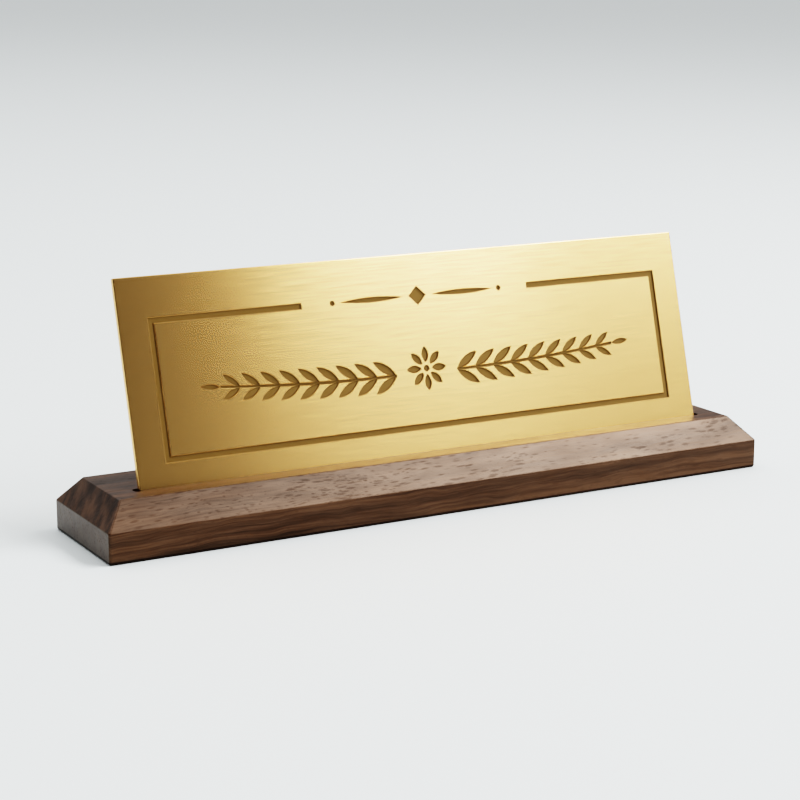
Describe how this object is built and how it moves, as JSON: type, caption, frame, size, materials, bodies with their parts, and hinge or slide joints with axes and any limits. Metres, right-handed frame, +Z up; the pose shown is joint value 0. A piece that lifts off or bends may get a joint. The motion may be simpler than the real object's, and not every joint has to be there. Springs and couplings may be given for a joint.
{
  "type": "desk nameplate with stand",
  "caption": "Brushed brass nameplate with an engraved border, leaning back in the slot of a bevelled walnut desk stand.",
  "frame": {"origin": "middle of the base's underside", "axes": "+X along the nameplate to the reader's right, +Y to its back, +Z up; the plate faces -Y and leans back towards +Y"},
  "size_m": [0.254, 0.048, 0.0845],
  "materials": {
    "walnut": "satin oiled walnut, grain along the length",
    "brass": "brushed along the length, with a darker matt floor in the engraving"
  },
  "bodies": {
    "root": {"base": "walnut", "plate": "brass"}
  },
  "joints": []
}
